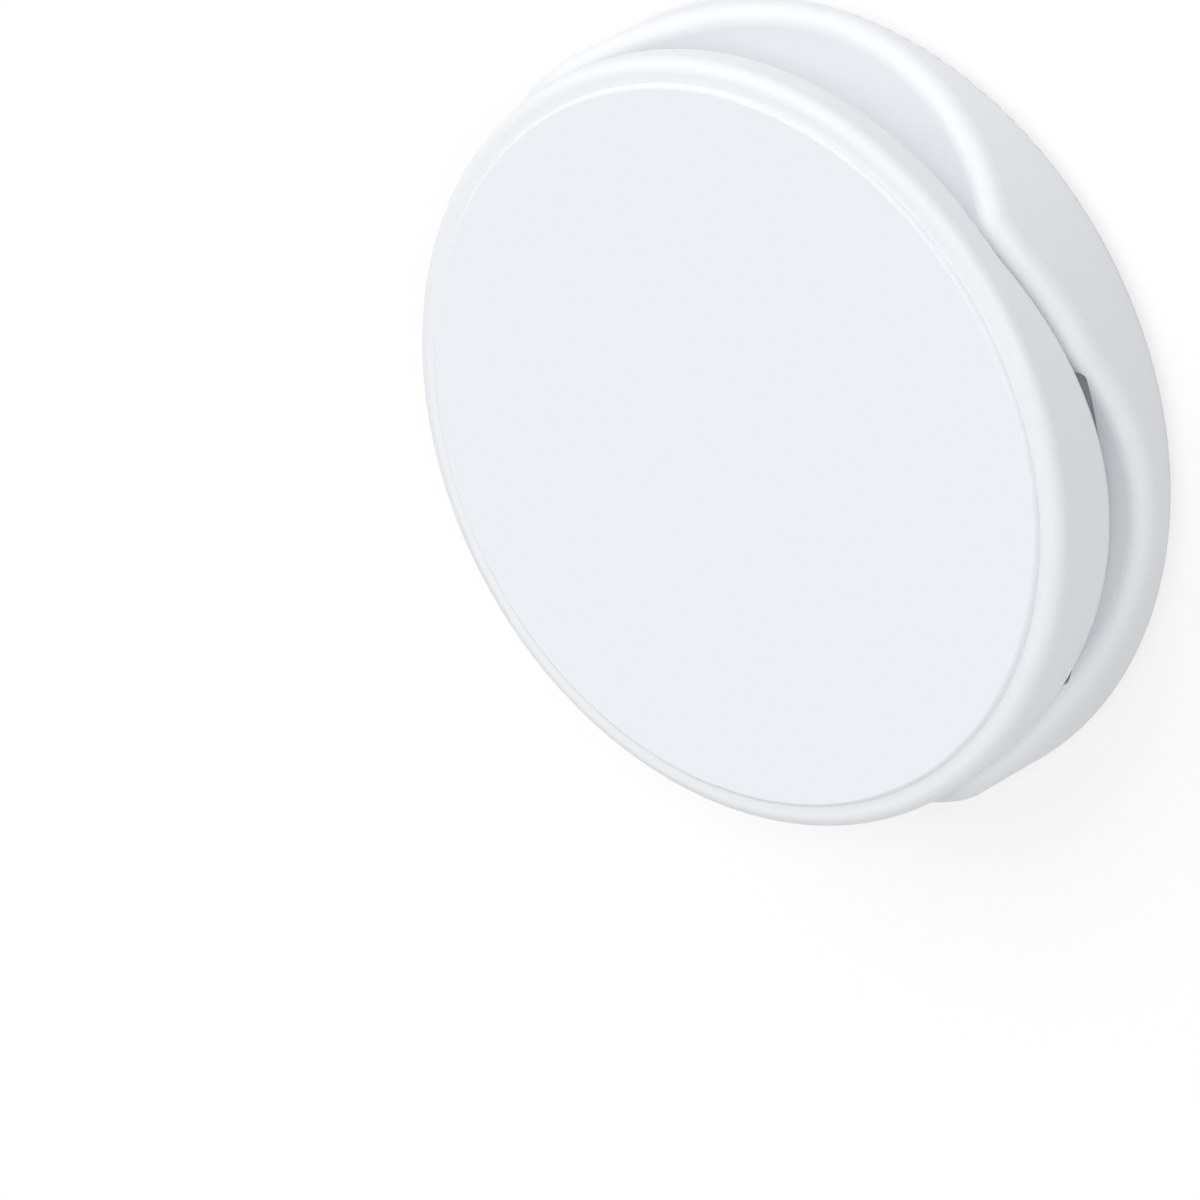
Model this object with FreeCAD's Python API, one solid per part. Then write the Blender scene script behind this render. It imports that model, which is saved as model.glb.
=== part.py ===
import FreeCAD, Part

import math
import os

from FreeCAD import Vector

# A folding stick-on phone grip and stand, closed.
# A round base is stuck to a phone's back. A link arm folds out of a pocket in the base and
# carries a round front disc, which a finger lifts at the scoop on either side of the base.
# The disc's bellied back nests in a seat across the base, and a channel in the seat's middle
# lowers the base's rim at both ends.
# Millimetres. Z runs out of the front, the origin is the middle of the adhesive face,
# X points to the hinge wall, and the two finger scoops face along +Y and -Y.

# Base, a dished moulding
base_radius = 24.7
base_height = 7.0
base_back_fillet = 0.35
wall_top_fillet = 1.2

# Finger scoops: a round hollow in the rim at +Y and at -Y
scoop_radius = 28.0
scoop_floor_thickness = 1.7
scoop_edge_fillet = 2.0

# Channel: a shallower round hollow along X
channel_radius = 22.5
channel_floor_thickness = 2.7
channel_edge_fillet = 6.0

# Adhesive pad, seated in a shallow recess in the back of the base
pad_radius = 21.0
pad_thickness = 0.8
pad_recess_depth = 0.3
pad_fit_gap = 0.2
pad_edge_fillet = 0.15

# Arm pocket in the base
pocket_width = 20.0
pocket_floor_thickness = 0.9
pocket_ear_gap = 1.4
pocket_hinge_gap = 2.5
pocket_corner_radius = 0.4

# Link arm, a plate with a barrel at each end
hinge_inset = 7.9
arm_length = 24.5
arm_width = 16.4
arm_thickness = 2.4
barrel_radius = 2.2
barrel_floor_gap = 0.5
arm_root_fillet = 1.2
arm_edge_fillet = 0.35
arm_side_gap = 0.3

# Hinge pins, pressed into the barrels and turning in the snap bearings
pin_radius = 0.75
pin_running_gap = 0.05
pin_end_gap = 0.15
pin_end_chamfer = 0.2
snap_mouth_width = 1.3

# Snap bearings: bosses on the base and ears on the front disc
boss_length = 4.2
boss_width = 2.7
boss_end_wall = 0.8
boss_lip_height = 1.1
boss_top_fillet = 0.6
ear_radius = 2.0
ear_root_half_width = 3.4
ear_pocket_gap = 0.3

# Front disc: a round slab whose back has a belly along X, let into the base's seat
disc_radius = 23.75
disc_gap = 0.4
disc_slab_thickness = 1.6
disc_front_fillet = 0.85
disc_back_fillet = 0.3
belly_radius = 52.0
belly_depth = 2.7
belly_seat_gap = 0.4
recess_end_gap = 0.5

# Front plate, let into the face of the disc
plate_inset = 1.45
plate_recess_depth = 0.7
plate_proud = 0.3
plate_edge_fillet = 0.3

# How far a cutting or joining solid runs past the face that it meets
overrun = 0.5

# How close an edge lies to the place that it is looked for at
edge_band = 0.05

# Levels and places that follow from the sizes above
base_back_z = pad_thickness - pad_recess_depth
base_top_z = base_back_z + base_height
scoop_low_z = base_back_z + scoop_floor_thickness
channel_low_z = base_back_z + channel_floor_thickness
scoop_centre = Vector(0, base_radius, scoop_low_z + scoop_radius)
pocket_floor_z = pad_thickness + pocket_floor_thickness
pivot_z = pocket_floor_z + barrel_floor_gap + barrel_radius
hinge_x = base_radius - hinge_inset
disc_pivot_x = hinge_x - arm_length
pocket_half_width = pocket_width / 2
bearing_inner_y = arm_width / 2 + arm_side_gap
boss_outer_y = bearing_inner_y + boss_width
boss_bore_end_y = boss_outer_y - boss_end_wall
ear_outer_y = pocket_half_width - ear_pocket_gap
bearing_radius = pin_radius + pin_running_gap
plate_radius = disc_radius - plate_inset
slab_back_z = base_top_z + disc_gap
slab_front_z = slab_back_z + disc_slab_thickness
disc_front_z = slab_front_z + plate_recess_depth
plate_front_z = disc_front_z + plate_proud
belly_low_z = slab_back_z - belly_depth

# How far a bar or block that spans the whole grip reaches from the middle
span_reach = max(base_radius, disc_radius) + overrun

ALONG_X = Vector(1, 0, 0)
ALONG_Y = Vector(0, 1, 0)


def prism_along_y(edges, y_low, y_high):
    """Extrude a closed outline, drawn in the XZ plane, from y_low to y_high."""
    face = Part.Face(Part.Wire(edges))
    face.translate(Vector(0, y_low, 0))
    return face.extrude(Vector(0, y_high - y_low, 0))


def bar_along_y(radius, x, z, y_low, y_high):
    """Make a cylinder along Y between two places."""
    return Part.makeCylinder(radius, y_high - y_low, Vector(x, y_low, z), ALONG_Y)


def both_sides(solid):
    """Return a solid and its mirror image across the XZ plane."""
    return [solid, solid.mirror(Vector(0, 0, 0), ALONG_Y)]


def line(start, end):
    """Make a straight edge."""
    return Part.LineSegment(start, end).toShape()


def arc(start, middle, end):
    """Make a round edge through three points."""
    return Part.Arc(start, middle, end).toShape()


def edge_middle(edge):
    """Return the point halfway along an edge's own parameter."""
    return edge.valueAt((edge.FirstParameter + edge.LastParameter) / 2)


def is_upright(edge):
    """Say whether an edge runs along Z."""
    box = edge.BoundBox
    return box.XLength < edge_band and box.YLength < edge_band


def rim_edges(solid, radius, z_low, z_high):
    """List the edges that run round the Z axis at a radius, between two heights."""

    def is_rim(edge):
        if edge.Degenerated or is_upright(edge):
            return False
        middle = edge_middle(edge)
        at_radius = abs(math.hypot(middle.x, middle.y) - radius) < edge_band
        return at_radius and z_low - edge_band < middle.z < z_high + edge_band

    return [edge for edge in solid.Edges if is_rim(edge)]


def bar_along_x(radius, low_z):
    """Make a cylinder along X, longer than the grip is wide, with its lowest line at a height."""
    return Part.makeCylinder(radius, 2 * span_reach, Vector(-span_reach, 0, low_z + radius), ALONG_X)


def scoop_ball():
    """Make the ball that hollows the base's rim at +Y."""
    return Part.makeSphere(scoop_radius, scoop_centre)


def pocket_cutter():
    """Make the arm's pocket, from the ears at one end to the hinge at the other."""
    x_low = disc_pivot_x - ear_root_half_width - pocket_ear_gap
    x_high = hinge_x + barrel_radius + pocket_hinge_gap
    pocket = Part.makeBox(
        x_high - x_low,
        pocket_width,
        base_top_z + overrun - pocket_floor_z,
        Vector(x_low, -pocket_half_width, pocket_floor_z),
    )
    return pocket.makeFillet(pocket_corner_radius, [e for e in pocket.Edges if is_upright(e)])


def base_boss():
    """Make the snap bearing at +Y that the base hinge pin drops into from above."""
    foot_z = pocket_floor_z - pocket_floor_thickness / 2
    top_z = pivot_z + boss_lip_height
    boss = Part.makeBox(
        boss_length,
        boss_width,
        top_z - foot_z,
        Vector(hinge_x - boss_length / 2, bearing_inner_y, foot_z),
    )

    def is_top_end(edge):
        middle = edge_middle(edge)
        return edge.BoundBox.XLength < edge_band and abs(middle.z - top_z) < edge_band

    return boss.makeFillet(boss_top_fillet, [e for e in boss.Edges if is_top_end(e)])


def base_bearing_cutter():
    """Make the bore of the bearing at +Y, with the narrower mouth above it."""
    y_low = bearing_inner_y - overrun
    bore = bar_along_y(bearing_radius, hinge_x, pivot_z, y_low, boss_bore_end_y)
    mouth = Part.makeBox(
        snap_mouth_width,
        boss_bore_end_y - y_low,
        boss_lip_height + overrun,
        Vector(hinge_x - snap_mouth_width / 2, y_low, pivot_z),
    )
    return bore.fuse(mouth)


def is_ridge(edge):
    """Say whether an edge is where two hollows of the base, or a hollow and its top, meet."""
    if edge.Degenerated or is_upright(edge):
        return False
    middle = edge_middle(edge)
    return math.hypot(middle.x, middle.y) < base_radius - edge_band


def is_scoop_ridge(edge):
    """Say whether a ridge runs round one of the finger scoops."""
    if not is_ridge(edge):
        return False
    middle = edge_middle(edge)
    from_centre = Vector(middle.x, abs(middle.y), middle.z) - scoop_centre
    return abs(from_centre.Length - scoop_radius) < edge_band


def make_base():
    """Make the dished base with its scoops, seat, channel, arm pocket, bosses and pad recess."""
    body = Part.makeCylinder(base_radius, base_height, Vector(0, 0, base_back_z))
    seat = bar_along_x(belly_radius + belly_seat_gap, belly_low_z - belly_seat_gap)
    channel = bar_along_x(channel_radius, channel_low_z)
    body = body.cut([seat, channel])
    body = body.makeFillet(channel_edge_fillet, [e for e in body.Edges if is_ridge(e)])
    body = body.cut(both_sides(scoop_ball()))
    body = body.makeFillet(scoop_edge_fillet, [e for e in body.Edges if is_scoop_ridge(e)])
    body = body.makeFillet(wall_top_fillet, rim_edges(body, base_radius, scoop_low_z, base_top_z))
    body = body.makeFillet(base_back_fillet, rim_edges(body, base_radius, base_back_z, base_back_z))
    body = body.cut(pocket_cutter())
    body = body.fuse(both_sides(base_boss()))
    body = body.cut(both_sides(base_bearing_cutter()))
    recess = Part.makeCylinder(
        pad_radius + pad_fit_gap,
        pad_recess_depth + overrun,
        Vector(0, 0, base_back_z - overrun),
    )
    return body.cut(recess)


def make_adhesive_pad():
    """Make the foam pad that holds the base on a phone."""
    pad = Part.makeCylinder(pad_radius, pad_thickness)
    return pad.makeFillet(pad_edge_fillet, rim_edges(pad, pad_radius, 0, 0))


def make_link_arm():
    """Make the plate with a bored barrel at each end."""
    half_width = arm_width / 2
    half_thickness = arm_thickness / 2
    pivots = (disc_pivot_x, hinge_x)
    plate = Part.makeBox(
        arm_length,
        arm_width,
        arm_thickness,
        Vector(disc_pivot_x, -half_width, pivot_z - half_thickness),
    )
    barrels = [bar_along_y(barrel_radius, x, pivot_z, -half_width, half_width) for x in pivots]
    arm = plate.fuse(barrels).removeSplitter()

    def is_root(edge):
        middle = edge_middle(edge)
        inside = disc_pivot_x < middle.x < hinge_x
        at_face = abs(abs(middle.z - pivot_z) - half_thickness) < edge_band
        return inside and at_face and abs(middle.y) < edge_band

    def is_side(edge):
        box = edge.BoundBox
        return box.YLength < edge_band and abs(abs(box.YMin) - half_width) < edge_band

    arm = arm.makeFillet(arm_root_fillet, [e for e in arm.Edges if is_root(e)])
    arm = arm.makeFillet(arm_edge_fillet, [e for e in arm.Edges if is_side(e)])
    return arm.cut([bar_along_y(pin_radius, x, pivot_z, -arm_width, arm_width) for x in pivots])


def make_pin(x, half_length):
    """Make a hinge pin with chamfered ends."""
    pin = bar_along_y(pin_radius, x, pivot_z, -half_length, half_length)
    ends = [edge for edge in pin.Edges if isinstance(edge.Curve, Part.Circle)]
    return pin.makeChamfer(pin_end_chamfer, ends)


def make_base_hinge_pin():
    """Make the pin that the arm turns on in the base."""
    return make_pin(hinge_x, boss_bore_end_y - pin_end_gap)


def make_disc_hinge_pin():
    """Make the pin that the front disc turns on."""
    return make_pin(disc_pivot_x, ear_outer_y - pin_end_gap)


def disc_ear():
    """Make the tapered ear at +Y, with a snap bearing that is open downwards."""
    centre = Vector(disc_pivot_x, 0, pivot_z)
    root_z = slab_back_z + disc_slab_thickness / 2
    to_root = math.hypot(ear_root_half_width, root_z - pivot_z)
    lean = math.atan2(ear_root_half_width, root_z - pivot_z)
    turn = math.acos(ear_radius / to_root)
    tangent_x = ear_radius * math.sin(lean + turn)
    tangent_z = ear_radius * math.cos(lean + turn)
    left_root = Vector(disc_pivot_x - ear_root_half_width, 0, root_z)
    right_root = Vector(disc_pivot_x + ear_root_half_width, 0, root_z)
    left_tangent = centre + Vector(-tangent_x, 0, tangent_z)
    right_tangent = centre + Vector(tangent_x, 0, tangent_z)
    tip = centre + Vector(0, 0, -ear_radius)
    edges = [
        line(left_root, left_tangent),
        arc(left_tangent, tip, right_tangent),
        line(right_tangent, right_root),
        line(right_root, left_root),
    ]
    ear = prism_along_y(edges, bearing_inner_y, ear_outer_y)
    bore = bar_along_y(bearing_radius, disc_pivot_x, pivot_z, 0, pocket_width)
    mouth = Part.makeBox(
        snap_mouth_width,
        pocket_width,
        ear_radius + overrun,
        Vector(disc_pivot_x - snap_mouth_width / 2, 0, pivot_z - ear_radius - overrun),
    )
    return ear.cut([bore, mouth])


def make_front_disc():
    """Make the disc with its belly, its recesses for the arm and the plate, and its hinge ears."""
    disc = Part.makeCylinder(disc_radius, disc_front_z - belly_low_z, Vector(0, 0, belly_low_z))
    slab_space = Part.makeBox(
        2 * span_reach,
        2 * span_reach,
        disc_front_z - slab_back_z + overrun,
        Vector(-span_reach, -span_reach, slab_back_z),
    )
    disc = disc.common(bar_along_x(belly_radius, belly_low_z).fuse(slab_space))
    disc = disc.makeFillet(disc_front_fillet, rim_edges(disc, disc_radius, disc_front_z, disc_front_z))
    disc = disc.makeFillet(disc_back_fillet, rim_edges(disc, disc_radius, belly_low_z, slab_back_z))
    arm_low_x = disc_pivot_x - barrel_radius - recess_end_gap
    arm_high_x = hinge_x + barrel_radius + recess_end_gap
    arm_recess = Part.makeBox(
        arm_high_x - arm_low_x,
        2 * bearing_inner_y,
        belly_depth + overrun,
        Vector(arm_low_x, -bearing_inner_y, belly_low_z - overrun),
    )
    plate_recess = Part.makeCylinder(
        plate_radius,
        plate_recess_depth + overrun,
        Vector(0, 0, slab_front_z),
    )
    disc = disc.cut([arm_recess, plate_recess])
    return disc.fuse(both_sides(disc_ear())).removeSplitter()


def make_front_plate():
    """Make the plain plate that lies in the disc's recess and stands a little proud."""
    plate = Part.makeCylinder(plate_radius, plate_front_z - slab_front_z, Vector(0, 0, slab_front_z))
    return plate.makeFillet(plate_edge_fillet, rim_edges(plate, plate_radius, plate_front_z, plate_front_z))


PIECES = {
    "base": make_base,
    "adhesive_pad": make_adhesive_pad,
    "link_arm": make_link_arm,
    "base_hinge_pin": make_base_hinge_pin,
    "disc_hinge_pin": make_disc_hinge_pin,
    "front_disc": make_front_disc,
    "front_plate": make_front_plate,
}

os.makedirs("parts", exist_ok=True)
for name, make_piece in PIECES.items():
    make_piece().exportStep(f"parts/{name}.step")
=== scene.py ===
"""Studio scene of a white folding phone grip and stand, closed and lying on its adhesive back.

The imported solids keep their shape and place. This file gives each of them its finish and sets
the floor, the light and the camera. Sizes are in metres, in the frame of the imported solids.
"""

import logging
import math
from dataclasses import dataclass
from enum import Enum

import bpy
from mathutils import Matrix, Vector


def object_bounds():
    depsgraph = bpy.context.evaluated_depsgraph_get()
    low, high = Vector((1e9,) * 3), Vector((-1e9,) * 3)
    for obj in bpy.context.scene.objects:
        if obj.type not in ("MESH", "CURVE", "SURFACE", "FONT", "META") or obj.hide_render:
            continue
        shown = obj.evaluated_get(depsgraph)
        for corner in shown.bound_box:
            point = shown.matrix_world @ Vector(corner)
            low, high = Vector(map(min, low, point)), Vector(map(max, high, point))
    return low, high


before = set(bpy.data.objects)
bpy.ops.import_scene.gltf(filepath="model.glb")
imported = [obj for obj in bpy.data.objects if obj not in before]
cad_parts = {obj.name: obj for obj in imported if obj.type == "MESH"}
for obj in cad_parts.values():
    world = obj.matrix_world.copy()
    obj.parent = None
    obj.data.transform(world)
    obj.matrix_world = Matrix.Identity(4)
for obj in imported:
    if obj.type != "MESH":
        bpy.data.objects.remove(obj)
cad_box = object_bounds()

LOG = logging.getLogger("phone_grip")
MM = 0.001

# How fine the detail of a noise goes, and how strongly its finer layers count
SOFT_NOISE = {"Detail": 2.0, "Roughness": 0.5}
GRAIN_NOISE = {"Detail": 3.0, "Roughness": 0.55}


def linear(code: str) -> tuple[float, float, float, float]:
    """Turn an sRGB hex colour into the linear colour that a shader takes.

    Args:
        code: six hex digits, red first.

    Returns:
        Linear red, green and blue, and an alpha of one.
    """
    channels = [int(code[at : at + 2], 16) / 255 for at in (0, 2, 4)]
    lit = [c / 12.92 if c <= 0.04045 else ((c + 0.055) / 1.055) ** 2.4 for c in channels]
    return (*lit, 1.0)


def grey(level: float) -> tuple[float, float, float, float]:
    """Make a linear grey.

    Args:
        level: its red, green and blue.

    Returns:
        The colour, with an alpha of one.
    """
    return (level, level, level, 1.0)


def add_node(tree: bpy.types.NodeTree, kind: str, inputs: dict, **settings: object) -> bpy.types.Node:
    """Add a shader node with its settings, values and links.

    Args:
        tree: the node tree that takes the node.
        kind: Blender's name for the node's type.
        inputs: a value, or an output to link from, for each input by name or place.
        **settings: the node's own properties.

    Returns:
        The new node.
    """
    node = tree.nodes.new(kind)
    for name, value in settings.items():
        setattr(node, name, value)
    for name, value in inputs.items():
        if isinstance(value, bpy.types.NodeSocket):
            tree.links.new(value, node.inputs[name])
        else:
            node.inputs[name].default_value = value
    return node


def new_material(name: str) -> tuple[bpy.types.Material, bpy.types.NodeTree, bpy.types.NodeSocket]:
    """Start a material with nothing but its output.

    Args:
        name: the material's name.

    Returns:
        The material, its node tree and the surface input of its output.
    """
    material = bpy.data.materials.new(name)
    material.use_nodes = True
    tree = material.node_tree
    tree.nodes.clear()
    output = tree.nodes.new("ShaderNodeOutputMaterial")
    return material, tree, output.inputs["Surface"]


def seen_ray(tree: bpy.types.NodeTree) -> bpy.types.NodeSocket:
    """Tell the rays that show a surface to the eye from those that only carry light.

    Args:
        tree: the node tree that takes the nodes.

    Returns:
        An output that is one for camera, mirrored and transmitted rays, and zero for the rest.
    """
    path = add_node(tree, "ShaderNodeLightPath", {})
    mirrored = add_node(
        tree,
        "ShaderNodeMath",
        {0: path.outputs["Is Glossy Ray"], 1: path.outputs["Is Transmission Ray"]},
        operation="MAXIMUM",
    )
    seen = add_node(
        tree,
        "ShaderNodeMath",
        {0: path.outputs["Is Camera Ray"], 1: mirrored.outputs["Value"]},
        operation="MAXIMUM",
    )
    return seen.outputs["Value"]


class MouldFace(Enum):
    """How the steel face of a mould was finished, and how far its plastic's roughness varies."""

    SPARK_ERODED = 0.05
    FINE_BLASTED = 0.02


@dataclass(frozen=True)
class MouldedPlastic:
    """ABS, injection moulded: an opaque body colour under a clear satin skin."""

    name: str
    colour: str
    shade: str
    mould_face: MouldFace
    roughness: float
    grain_size: float
    grain_height: float
    drift_size: float = 9.0 * MM
    ior: float = 1.53

    def material(self) -> bpy.types.Material:
        """Make the plastic's material.

        Returns:
            A material whose tint drifts a little with the melt's flow and whose skin has a grain.
        """
        material, tree, surface = new_material(self.name)
        place = add_node(tree, "ShaderNodeTexCoord", {}).outputs["Object"]
        drift = add_node(
            tree,
            "ShaderNodeTexNoise",
            {"Vector": place, "Scale": 1 / self.drift_size, **SOFT_NOISE},
        )
        tint = add_node(
            tree,
            "ShaderNodeMix",
            {"Factor": drift.outputs["Fac"], "A": linear(self.colour), "B": linear(self.shade)},
            data_type="RGBA",
        )
        grain = add_node(
            tree,
            "ShaderNodeTexNoise",
            {"Vector": place, "Scale": 1 / self.grain_size, **GRAIN_NOISE},
        )
        spread = self.mould_face.value
        skin = add_node(
            tree,
            "ShaderNodeMapRange",
            {
                "Value": grain.outputs["Fac"],
                "To Min": self.roughness - spread,
                "To Max": self.roughness + spread,
            },
        )
        bump = add_node(
            tree,
            "ShaderNodeBump",
            {"Height": grain.outputs["Fac"], "Distance": self.grain_height, "Strength": 1.0},
        )
        body = add_node(
            tree,
            "ShaderNodeBsdfPrincipled",
            {
                "Base Color": tint.outputs["Result"],
                "Roughness": skin.outputs["Result"],
                "Normal": bump.outputs["Normal"],
                "IOR": self.ior,
            },
        )
        tree.links.new(body.outputs["BSDF"], surface)
        return material


@dataclass(frozen=True)
class DrawnSteel:
    """Stainless steel wire, drawn through a die: bright, with fine lines along its length."""

    name: str = "drawn_stainless_steel"
    colour: str = "C9CACC"
    line_spacing: float = 0.12 * MM
    line_length: float = 6.0 * MM
    roughness: float = 0.3
    roughness_spread: float = 0.08

    def material(self) -> bpy.types.Material:
        """Make the steel's material.

        Returns:
            A bright metal whose roughness varies in lines along Y, the pins' own direction.
        """
        material, tree, surface = new_material(self.name)
        place = add_node(tree, "ShaderNodeTexCoord", {}).outputs["Object"]
        across, along = 1 / self.line_spacing, 1 / self.line_length
        stretched = add_node(
            tree,
            "ShaderNodeMapping",
            {"Vector": place, "Scale": (across, along, across)},
        )
        lines = add_node(
            tree,
            "ShaderNodeTexNoise",
            {"Vector": stretched.outputs["Vector"], "Scale": 1.0, **SOFT_NOISE},
        )
        skin = add_node(
            tree,
            "ShaderNodeMapRange",
            {
                "Value": lines.outputs["Fac"],
                "To Min": self.roughness - self.roughness_spread,
                "To Max": self.roughness + self.roughness_spread,
            },
        )
        body = add_node(
            tree,
            "ShaderNodeBsdfPrincipled",
            {
                "Base Color": linear(self.colour),
                "Metallic": 1.0,
                "Roughness": skin.outputs["Result"],
            },
        )
        tree.links.new(body.outputs["BSDF"], surface)
        return material


@dataclass(frozen=True)
class FoamTape:
    """Closed-cell polyethylene foam with an adhesive skin: dull, with fine open cells at its cut edge."""

    name: str = "foam_tape"
    colour: str = "E4E4E2"
    hollow_shade_colour: str = "CFCFCC"
    cell_size: float = 0.22 * MM
    cell_depth: float = 0.02 * MM
    roughness: float = 0.8

    def material(self) -> bpy.types.Material:
        """Make the foam's material.

        Returns:
            A dull material with small cells, and painted shade that darkens their hollows.
        """
        material, tree, surface = new_material(self.name)
        place = add_node(tree, "ShaderNodeTexCoord", {}).outputs["Object"]
        cells = add_node(tree, "ShaderNodeTexVoronoi", {"Vector": place, "Scale": 1 / self.cell_size})
        # Painted shade: the darker colour sits in each cell's hollow, where shade would fall
        tint = add_node(
            tree,
            "ShaderNodeMix",
            {
                "Factor": cells.outputs["Distance"],
                "A": linear(self.hollow_shade_colour),
                "B": linear(self.colour),
            },
            data_type="RGBA",
        )
        bump = add_node(
            tree,
            "ShaderNodeBump",
            {"Height": cells.outputs["Distance"], "Distance": self.cell_depth, "Strength": 1.0},
        )
        body = add_node(
            tree,
            "ShaderNodeBsdfPrincipled",
            {
                "Base Color": tint.outputs["Result"],
                "Roughness": self.roughness,
                "Normal": bump.outputs["Normal"],
            },
        )
        tree.links.new(body.outputs["BSDF"], surface)
        return material


@dataclass(frozen=True)
class StudioPaper:
    """Matt white studio paper, which the eye sees as plain white with faint shadows."""

    name: str = "studio_paper"
    albedo: float = 0.7
    seen_glow: float = 0.62
    seen_albedo: float = 0.42

    def material(self) -> bpy.types.Material:
        """Make the paper's material.

        Returns:
            A material that is diffuse white to bounced light, and mostly its own white to the eye.
        """
        material, tree, surface = new_material(self.name)
        paper = add_node(tree, "ShaderNodeBsdfDiffuse", {"Color": grey(self.albedo)})
        shaded = add_node(tree, "ShaderNodeBsdfDiffuse", {"Color": grey(self.seen_albedo)})
        glow = add_node(tree, "ShaderNodeEmission", {"Strength": self.seen_glow})
        shown = add_node(
            tree,
            "ShaderNodeAddShader",
            {0: shaded.outputs["BSDF"], 1: glow.outputs["Emission"]},
        )
        either = add_node(
            tree,
            "ShaderNodeMixShader",
            {0: seen_ray(tree), 1: paper.outputs["BSDF"], 2: shown.outputs["Shader"]},
        )
        tree.links.new(either.outputs["Shader"], surface)
        return material


SHELL_ABS = MouldedPlastic(
    name="white_abs_satin",
    colour="F3F4F7",
    shade="F1F2F5",
    mould_face=MouldFace.SPARK_ERODED,
    roughness=0.48,
    grain_size=0.30 * MM,
    grain_height=0.0012 * MM,
)
# The matt face has a lower index than a clear skin, so that it stays below white at a low angle
FACE_ABS = MouldedPlastic(
    name="white_abs_face",
    colour="F5F6FB",
    shade="F4F5FA",
    mould_face=MouldFace.FINE_BLASTED,
    roughness=0.7,
    grain_size=0.9 * MM,
    grain_height=0.0010 * MM,
    ior=1.4,
)


def dress_node(node: str, material: bpy.types.Material) -> None:
    """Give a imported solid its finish.

    Args:
        node: the solid's name.
        material: the finish that covers all of it.
    """
    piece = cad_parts[node]
    piece.data.materials.clear()
    piece.data.materials.append(material)
    LOG.info("%s wears %s", node, material.name)


@dataclass
class Grip:
    """The whole grip: a dished base, a folding arm on two pins, and a front disc with its plate."""

    shell_nodes: tuple[str, ...] = ("base", "link_arm", "front_disc")
    face_nodes: tuple[str, ...] = ("front_plate",)
    pin_nodes: tuple[str, ...] = ("base_hinge_pin", "disc_hinge_pin")
    tape_nodes: tuple[str, ...] = ("adhesive_pad",)

    def dress(self) -> None:
        """Give every piece its finish."""
        finishes = (
            (self.shell_nodes, SHELL_ABS.material()),
            (self.face_nodes, FACE_ABS.material()),
            (self.pin_nodes, DrawnSteel().material()),
            (self.tape_nodes, FoamTape().material()),
        )
        for nodes, material in finishes:
            for node in nodes:
                dress_node(node, material)


def direction(azimuth: float, elevation: float) -> Vector:
    """Point from the origin to a place in the sky.

    Args:
        azimuth: turn from +X towards +Y, in degrees.
        elevation: height over the floor, in degrees.

    Returns:
        The direction, one long.
    """
    turn, climb = math.radians(azimuth), math.radians(elevation)
    return Vector((math.cos(turn) * math.cos(climb), math.sin(turn) * math.cos(climb), math.sin(climb)))


@dataclass(frozen=True)
class Softbox:
    """A broad lamp far away, with its place in the sky and its spread in degrees."""

    name: str
    level: float
    azimuth: float
    elevation: float
    spread: float

    def hang(self) -> None:
        """Make the lamp."""
        lamp = bpy.data.lights.new(self.name, "SUN")
        lamp.energy = self.level
        lamp.angle = math.radians(self.spread)
        hung = bpy.data.objects.new(self.name, lamp)
        hung.rotation_euler = direction(self.azimuth, self.elevation).to_track_quat("Z", "Y").to_euler()
        bpy.context.scene.collection.objects.link(hung)


KEY_BOX = Softbox("key_box", level=1.78, azimuth=130.0, elevation=34.0, spread=76.0)
FRONT_BOX = Softbox("front_box", level=0.81, azimuth=36.0, elevation=45.0, spread=24.0)
SIDE_BOX = Softbox("side_box", level=0.63, azimuth=-45.0, elevation=38.0, spread=60.0)
BACK_BOX = Softbox("back_box", level=0.18, azimuth=215.0, elevation=55.0, spread=50.0)


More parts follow.
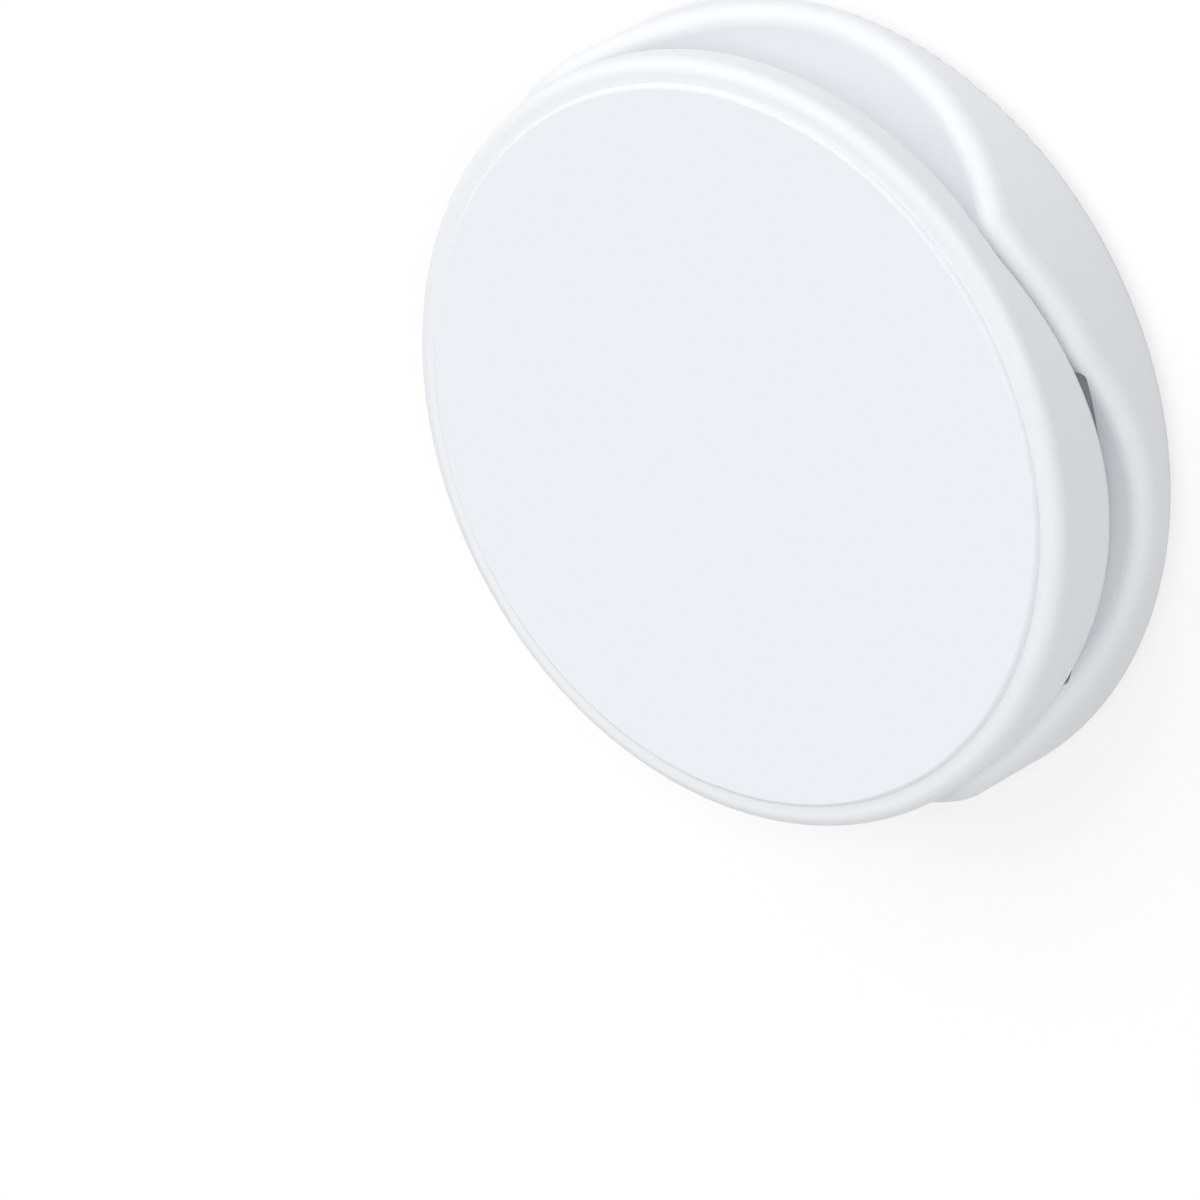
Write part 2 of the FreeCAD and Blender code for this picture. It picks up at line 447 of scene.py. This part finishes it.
@dataclass
class Studio:
    """A white floor, an even sky and four broad soft lamps.

    Light goes on through many bounces, because white plastic stays pale in its hollows.
    """

    floor_half_width: float = 3.0
    sky_level: float = 0.265
    bounces: int = 12
    lamps: tuple[Softbox, ...] = (KEY_BOX, FRONT_BOX, SIDE_BOX, BACK_BOX)

    def build(self) -> None:
        """Make the floor, the sky and the lamps, and set how far light is followed."""
        self.lay_floor()
        self.light_sky()
        for lamp in self.lamps:
            lamp.hang()
        bpy.context.scene.cycles.diffuse_bounces = self.bounces

    def lay_floor(self) -> None:
        """Make the floor under the grip's adhesive face."""
        bpy.ops.mesh.primitive_plane_add(size=2 * self.floor_half_width, location=(0, 0, cad_box[0].z))
        floor = bpy.context.object
        floor.name = "floor"
        floor.data.materials.append(StudioPaper().material())

    def light_sky(self) -> None:
        """Light the scene evenly from all round, and show white to the eye."""
        world = bpy.data.worlds.new("studio_sky")
        bpy.context.scene.world = world
        world.use_nodes = True
        tree = world.node_tree
        tree.nodes.clear()
        level = add_node(
            tree,
            "ShaderNodeMapRange",
            {"Value": seen_ray(tree), "To Min": self.sky_level, "To Max": 1.0},
        )
        sky = add_node(
            tree,
            "ShaderNodeBackground",
            {"Color": grey(1.0), "Strength": level.outputs["Result"]},
        )
        output = tree.nodes.new("ShaderNodeOutputWorld")
        tree.links.new(sky.outputs["Background"], output.inputs["Surface"])


@dataclass
class Viewpoint:
    """A long lens that looks down on the grip, rolled so that the finger scoop is at the top."""

    aim: tuple[float, float, float] = (-9.01 * MM, -12.84 * MM, 10.5 * MM)
    distance: float = 628.8 * MM
    azimuth: float = 39.5
    elevation: float = 45.2
    roll: float = -118.2
    lens: float = 317.9
    sensor: float = 36.0

    def build(self) -> None:
        """Make the camera and give it to the scene."""
        data = bpy.data.cameras.new("studio_camera")
        data.lens = self.lens
        data.sensor_width = self.sensor
        camera = bpy.data.objects.new("studio_camera", data)
        back = direction(self.azimuth, self.elevation)
        rolled = Matrix.Rotation(math.radians(self.roll), 3, "Z")
        turn = back.to_track_quat("Z", "Y").to_matrix() @ rolled
        camera.matrix_world = Matrix.Translation(Vector(self.aim) + back * self.distance) @ turn.to_4x4()
        bpy.context.scene.collection.objects.link(camera)
        bpy.context.scene.camera = camera


def main() -> None:
    """Dress the grip and set the studio and the camera."""
    logging.basicConfig(level=logging.INFO)
    bpy.context.scene.view_settings.view_transform = "Standard"
    Grip().dress()
    Studio().build()
    Viewpoint().build()


if __name__ == "__main__":
    main()
